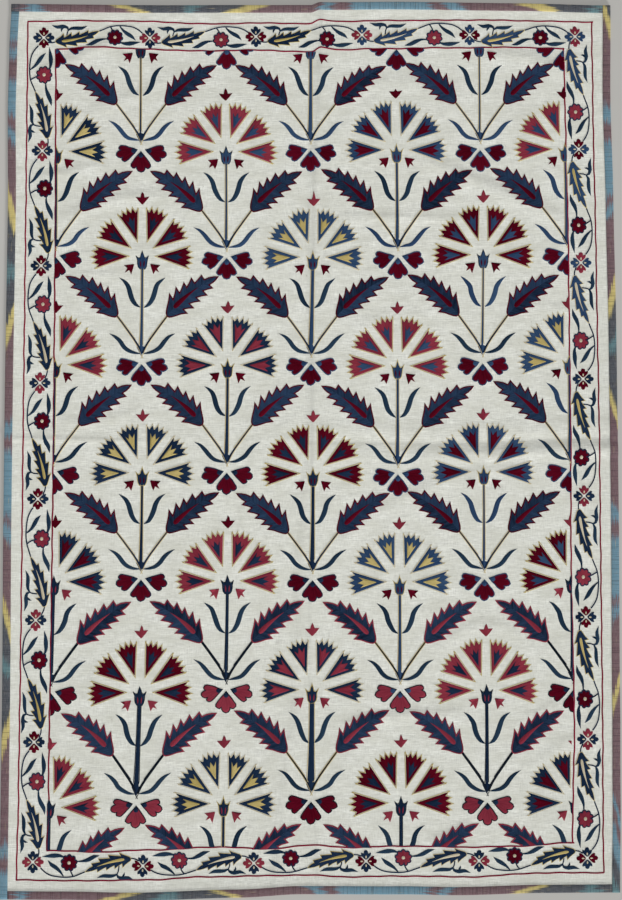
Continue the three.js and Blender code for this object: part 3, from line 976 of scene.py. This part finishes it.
# Leaflets: what they move with, the share of it at each point, and x, y and half width along them
LEAFLETS = [
    ("vine", (1,) * 5, [(61, 11, 1.6), (58, 18.5, 3.2), (47, 21.5, 5), (34, 20, 4.4), (19, 25, 0.1)]),
    ("vine", (1,) * 5, [(61, 12, 1.6), (69, 16.5, 3.8), (80, 17, 4.8), (94, 17.5, 4.4), (109, 23, 0.1)]),
    ("vine", (1,) * 3, [(48, 19, 2.4), (44, 13, 2.4), (43, 7, 0.1)]),
    ("vine", (1, 0.8, 0.6, 0.45, 0.3),
     [(189, 22, 1.4), (198, 12.5, 3.4), (209, 5.5, 5.2), (219, 0, 4.6), (229, -9, 0.1)]),
    ("rosette", (1,) * 5,
     [(189, -12.5, 1.6), (200, -16, 4), (213, -16, 5.8), (226, -14.5, 4.2), (242, -11.5, 0.1)]),
    ("rosette", (1,) * 5,
     [(157, -4, 1.6), (145, -4.5, 3), (131, -9.5, 5.4), (118, -16.5, 4.8), (104, -19.5, 0.1)]),
]
# The vine's arch: x, y, and the share of its way out that counts there
VINE = [(138, 13, 0.6), (150, 16.5, 0.8), (163, 20.5, 1), (181, 23.5, 1), (202, 23.2, 1), (222, 20.5, 0.9),
        (236, 15.5, 0.6), (245, 10, 0.3)]


def border_run(layers, depth, out, foot):
    """From one four petalled flower to the next: leaf, leaflets, vine and rosette, by a row of RUNS."""
    names = ("border_leaf", "border_streak", "border_outline")
    base, tip = (29, foot - 16.5), (138, 13.5 + 0.6 * out)
    toothed_leaf(layers, names, base, tip, -6, BORDER_START, BORDER_TEETH, (0.14, 0.74, 4.2), 0.75)
    cord(layers["vine"], [(10, -12), (20, 0.5 * foot - 16), (31, foot - 17)], 1.7, smooth_path=True)
    cord(layers["vine"], [(57, foot - 1), (58, 6 + 0.8 * out), (61, 13 + out)], 1.6, smooth_path=True)
    for moved, shares, leaflet in LEAFLETS:
        shift = depth if moved == "rosette" else out
        points = [(x, y + shift * share, half) for (x, y, half), share in zip(leaflet, shares)]
        blade(layers["leaflet"], shaky(points, 0.5))
    arc = [(x, y + out * share) for x, y, share in VINE]
    cord(layers["vine"], arc, 1.75, 0.9, smooth_path=True)
    tie = [(166, 20.5 + out), (172, 13 + 0.6 * out), (176, depth + 11)]
    cord(layers["vine"], tie, 1.75, 0.9, smooth_path=True)
    rosette(layers, (177, depth))


BORDER_ROLES = ("flower_dark", "flower_red", "dot", "rosette", "vine", "leaflet", "border_leaf",
                "border_streak", "border_outline")


def embroider_border(yarns):
    count = 0
    for side, places in QUATREFOILS.items():
        for here, after, run in zip(places, places[1:], RUNS[side]):
            way = Vector(after) - Vector(here)
            origin = Matrix.Translation((*here, 0)) @ Matrix.Rotation(math.atan2(way.y, way.x), 4, "Z")
            stretch = Matrix.Diagonal((way.length / BORDER_PITCH, 1, 1, 1))
            # at the two left corners the red petals lie across the run
            corner = here == places[0] and side in ("top", "left")
            quarter = Matrix.Rotation(math.radians(90 if corner else 0), 4, "Z")
            bright = side in ("top", "right") and here[0] > 0 and here[1] > 400
            red, gold = (("crimson", "gold"), ("rose", "cream"))[count % 2]
            dark = "blue" if bright else "navy"
            yarn = {"flower_dark": dark, "flower_red": red, "dot": "cream", "vine": "navy", "leaflet": "teal",
                    "rosette": red, "border_leaf": dark, "border_streak": gold,
                    "border_outline": "gold" if red == "crimson" else "pale_gold"}
            shift = random.random()
            for whole_run, matrix in ((False, origin @ quarter), (True, origin @ stretch)):
                layers = {role: new_bmesh() for role in BORDER_ROLES}
                if whole_run:
                    border_run(layers, *run)
                else:
                    border_flower(layers)
                for role in BORDER_ROLES:
                    if layers[role].verts:
                        set_out(yarns[yarn[role]], layers[role], matrix, False, shift)
            count += 1


def embroider_lines(yarns):
    for lines in LINES.values():
        for side, rows in lines.items():
            low, high = rows[0][0], rows[-1][0]
            path = []
            for along in np.arange(low, high + 0.1, (high - low) / LINE_STEPS):
                waver = 0.5 * math.sin(along / 9.3) + 0.4 * math.sin(along / 23.7 + 1)
                across = float(eased(rows, np.array(along))) + waver
                path.append((along, across) if side in ("top", "bottom") else (across, along))
            cord(yarns["madder"], path, LINE_HALF_WIDTH, LIFT)


# Pieces

def lay(piece):
    """Sets a flat embroidered mesh, still in millimetres, on the cloth, and turns it to metres."""
    place = places_of(piece.data)
    place[:, 2] += cloth_top(place[:, 0], place[:, 1])
    set_places(piece.data, place)


# The ground's net: steps in the open field and beside a crease, and steps down the hem
GROUND_STEP = 9.5
CREASE_STEP = 5
CREASE_REACH = 20
HEM_STEPS = (0, 5, 12, 20)


def lines_along(half, crease):
    """Even places along one side of the cloth, closer together at a crease."""
    fine = crease + np.arange(-CREASE_REACH, CREASE_REACH + 1, CREASE_STEP)
    field = half - RIM
    rim = [half - STRIP_THICKNESS - GAP, *(half - STRIP_WIDTH - inward for inward in HEM_STEPS)]
    below = np.linspace(-field, fine[0], math.ceil((fine[0] + field) / GROUND_STEP) + 1)[:-1]
    above = np.linspace(fine[-1], field, math.ceil((field - fine[-1]) / GROUND_STEP) + 1)[1:]
    return np.concatenate([[-place for place in rim], below, fine, above, rim[::-1]])


def make_ground():
    columns, rows = len(lines_along(HALF_WIDTH, 0)), len(lines_along(HALF_LENGTH, 0))
    bm = bmesh.new()
    bmesh.ops.create_grid(bm, x_segments=columns - 1, y_segments=rows - 1, size=1)
    ground = finished("cream_ground", bm, cotton())
    place = places_of(ground.data)
    column = np.rint((place[:, 0] + 1) / 2 * (columns - 1)).astype(int)
    row = np.rint((place[:, 1] + 1) / 2 * (rows - 1)).astype(int)
    even_x, even_y = lines_along(HALF_WIDTH, 0)[column], lines_along(HALF_LENGTH, 0)[row]
    # the lines near a crease lean to follow it
    ease_x = smooth(1 - np.abs(even_x) / (HALF_WIDTH - RIM))
    ease_y = smooth(1 - np.abs(even_y) / (HALF_LENGTH - RIM))
    x = even_x + eased(LONG_CREASE, even_y) * ease_x
    y = even_y + eased(CROSS_CREASE, even_x) * ease_y
    place[:, 0], place[:, 1] = laid(x, y)
    place[:, 2] = rise(x, y) + hem_lift(x, y) + GROUND_THICKNESS
    # painted shade of the creases and of the lee of the wrinkles, kept on the vertices for the cotton's colour
    ground.data.attributes.new("painted_shade", "FLOAT", "POINT").data.foreach_set("value", painted_shade(x, y))
    set_places(ground.data, place)
    thick = ground.modifiers.new("thickness", "SOLIDIFY")
    thick.thickness = GROUND_THICKNESS * MM
    thick.offset = -1
    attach(ground, "root")
    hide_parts("ground_cloth")
    return ground


# Ikat: colours of the warp, and for each strip its bands and the places where one gives way to the next
IKAT = {
    "mauve": (104, 78, 84),
    "blue": (94, 134, 152),
    "slate": (60, 68, 76),
    "teal": (80, 118, 124),
    "yellow": (194, 178, 108),
}
IKAT_BANDS = {
    "top": ["slate mauve blue mauve yellow slate teal slate yellow mauve blue mauve blue mauve blue mauve "
            "yellow slate teal slate",
            -735, -715, -673, -467, -430, -318, -292, -194, -140, 20, 47, 97, 295, 336, 376, 548, 603, 696,
            735],
    "bottom": ["mauve blue mauve yellow slate teal slate yellow mauve blue mauve blue mauve blue mauve "
               "yellow slate teal slate",
               -712, -687, -475, -438, -368, -326, -228, -200, -5, 24, 57, 280, 310, 338, 522, 554, 664, 694],
    "right": ["teal slate blue mauve blue mauve yellow mauve blue mauve blue mauve blue mauve yellow slate "
              "teal slate yellow mauve blue mauve blue mauve blue mauve yellow slate",
              -1074, -1017, -948, -904, -878, -640, -602, -431, -404, -381, -234, -194, -157, 73, 110, 222,
              253, 323, 380, 560, 584, 609, 749, 799, 841, 1044, 1090],
    "left": ["blue mauve blue mauve yellow slate teal slate yellow mauve blue mauve blue mauve blue mauve "
             "yellow slate teal slate yellow mauve blue mauve blue mauve blue mauve blue",
             -1032, -995, -965, -733, -680, -566, -534, -456, -409, -241, -203, -181, -20, 13, 47, 262, 317,
             400, 437, 532, 592, 744, 777, 812, 900, 954, 981, 1000],
}
# The slate lenses are a pattern's length apart, and these are the middles of one on each strip
IKAT_PERIOD = 1000
IKAT_MIDDLE = {"top": -320, "bottom": -325, "right": 215, "left": -575}
IKAT_SLANT = 56
FEATHER = 4


def band_ramp(n, share, names, changes, low, high):
    """A colour ramp with two stops at each change, a feather apart."""
    ramp = n.add("ShaderNodeValToRGB", Fac=share)
    stops = [(low, names[0])]
    for before, after, change in zip(names, names[1:], changes):
        stops += [(change - FEATHER, before), (change + FEATHER, after)]
    elements = ramp.color_ramp.elements
    while len(elements) < len(stops):
        elements.new(1)
    while len(elements) > len(stops):
        elements.remove(elements[-1])
    for element, (at, name) in zip(elements, stops):
        element.position = (at - low) / (high - low)
        element.color = tint(*IKAT[name])
    return ramp.outputs["Color"]


def ikat(side, low, high):
    """Warp-dyed cloth: the colours change slantwise and at uneven places from thread to thread."""
    n = Nodes(f"ikat_{side}", 0.8, specular=0.08)
    stitch = n.add("ShaderNodeUVMap", {"uv_map": "stitch"}).outputs["UV"]
    parts = n.add("ShaderNodeSeparateXYZ", Vector=stitch)
    along = parts.outputs["Y"]
    from_middle = n.math("SUBTRACT", along, IKAT_MIDDLE[side] * MM)
    turn = n.math("MULTIPLY", from_middle, 2 * math.pi / (IKAT_PERIOD * MM))
    inward = n.spread(parts.outputs["X"], 0.0235, 0.0435, -0.5, 0.5)
    # the slant is steep at the slate lenses and small at the blue ones
    lens = n.math("MULTIPLY", n.math("SINE", turn), n.math("ADD", n.math("COSINE", turn), 1.0))
    slant = n.math("MULTIPLY", n.math("MULTIPLY", lens, inward), IKAT_SLANT * MM)
    uneven = n.noise(n.scaled(stitch, (520, 9, 1)), 1.0, 2, 0.6)
    shift = n.math("MULTIPLY", n.math("SUBTRACT", uneven, 0.5), 0.085)
    place = n.math("ADD", n.math("ADD", along, slant), shift)
    share = n.math("DIVIDE", n.math("SUBTRACT", place, low * MM), (high - low) * MM)
    names, changes = IKAT_BANDS[side][0].split(), IKAT_BANDS[side][1:]
    half = len(names) // 2
    first = band_ramp(n, share, names[:half], changes[:half - 1], low, high)
    second = band_ramp(n, share, names[half:], changes[half:], low, high)
    edge = (changes[half - 1] - low) / (high - low)
    colour = n.mixed(n.spread(share, edge - 0.002, edge + 0.002, 0, 1), first, second)
    fleck = n.noise(n.scaled(stitch, (620, 30, 1)), 1.0, 1)
    flecked = n.mixed(n.spread(fleck, 0.69, 0.74, 0, 0.55), colour, tint(188, 174, 132))
    streak = n.noise(n.scaled(stitch, (1100, 60, 1)), 1.0, 2, 0.6)
    faded = n.mixed(n.spread(streak, 0.35, 0.75, 0, 0.35), flecked, tint(158, 150, 150))
    tick = n.noise(n.scaled(stitch, (9, 460, 1)), 1.0, 3, 0.7)
    ticked = n.mixed(n.spread(tick, 0.5, 0.68, 0, 0.62), faded, tint(34, 30, 36))
    height = n.math("ADD", n.bands(stitch, "Y", 130, 0.4), n.math("MULTIPLY", streak, 0.5))
    return n.finish(ticked, height, 0.7, 0.00035)


FOLD_RADIUS = 1.6
STRIP_STEP = 6


def strip_section():
    """The section of a folded strip, from below to above and back: steps in from the edge, and heights."""
    top = 2 * (STRIP_THICKNESS + GAP) + GROUND_THICKNESS
    fold = FOLD_RADIUS
    outside = [(STRIP_WIDTH, 0), (12, 0), (6, 0), (fold, 0)]
    outside += [(fold - fold * math.sin(turn), fold - fold * math.cos(turn)) for turn in (0.5, 1.05)]
    outside += [(0, fold), (0, top - fold)]
    outside += [(fold - fold * math.cos(turn), top - fold + fold * math.sin(turn)) for turn in (0.5, 1.05)]
    outside += [(fold, top), (6, top + 0.15), (12, top + 0.15), (STRIP_WIDTH - 1, top)]
    outside.append((STRIP_WIDTH - 0.2, top - 0.4))
    steps = (STRIP_WIDTH, 10, STRIP_THICKNESS)
    inside = [(step, top - STRIP_THICKNESS) for step in steps]
    inside += [(step, STRIP_THICKNESS) for step in reversed(steps)]
    return np.array(outside + inside, float)


def make_strip(side, low, high, point):
    """A strip along one edge. point finds a place of the straight cut by how far along and inwards it is."""
    section = strip_section()
    section = np.vstack([section, section[:1]])
    stations = np.linspace(low, high, round((high - low) / STRIP_STEP) + 1)
    along, inward = np.meshgrid(stations, section[:, 0], indexing="ij")
    _, up = np.meshgrid(stations, section[:, 1], indexing="ij")
    x, y = point(along, inward)
    laid_x, laid_y = laid(x, y)
    bm = new_bmesh()
    across = np.ones_like(along) * travelled(section)[None, :]
    net(bm, laid_x * MM, laid_y * MM, (up + rise(x, y)) * MM, across, along)
    bmesh.ops.remove_doubles(bm, verts=bm.verts, dist=1e-6)
    bmesh.ops.holes_fill(bm, edges=bm.edges, sides=0)
    bmesh.ops.recalc_face_normals(bm, faces=bm.faces)
    strip = finished(f"ikat_edging_{side}", bm, ikat(side, low, high))
    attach(strip, "root")
    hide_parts(f"edging_{side}")
    return strip


def make_edging():
    side_x = HALF_WIDTH - STRIP_WIDTH - GAP
    side_y = HALF_LENGTH - STRIP_WIDTH - GAP
    return [
        make_strip("top", -HALF_WIDTH, side_x, lambda along, inward: (along, HALF_LENGTH - inward)),
        make_strip("bottom", -side_x, side_x, lambda along, inward: (along, inward - HALF_LENGTH)),
        make_strip("left", -HALF_LENGTH, side_y, lambda along, inward: (inward - HALF_WIDTH, along)),
        make_strip("right", -HALF_LENGTH, HALF_LENGTH, lambda along, inward: (HALF_WIDTH - inward, along)),
    ]


def embroider():
    yarns = {name: new_bmesh() for name in YARNS}
    embroider_field(yarns)
    embroider_border(yarns)
    embroider_lines(yarns)
    pieces = []
    for name, bm in yarns.items():
        piece = finished(f"silk_{name}", bm, silk(name))
        lay(piece)
        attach(piece, "root")
        pieces.append(piece)
    return pieces


add_camera()
add_studio()
ground = make_ground()
edging = make_edging()
threads = embroider()
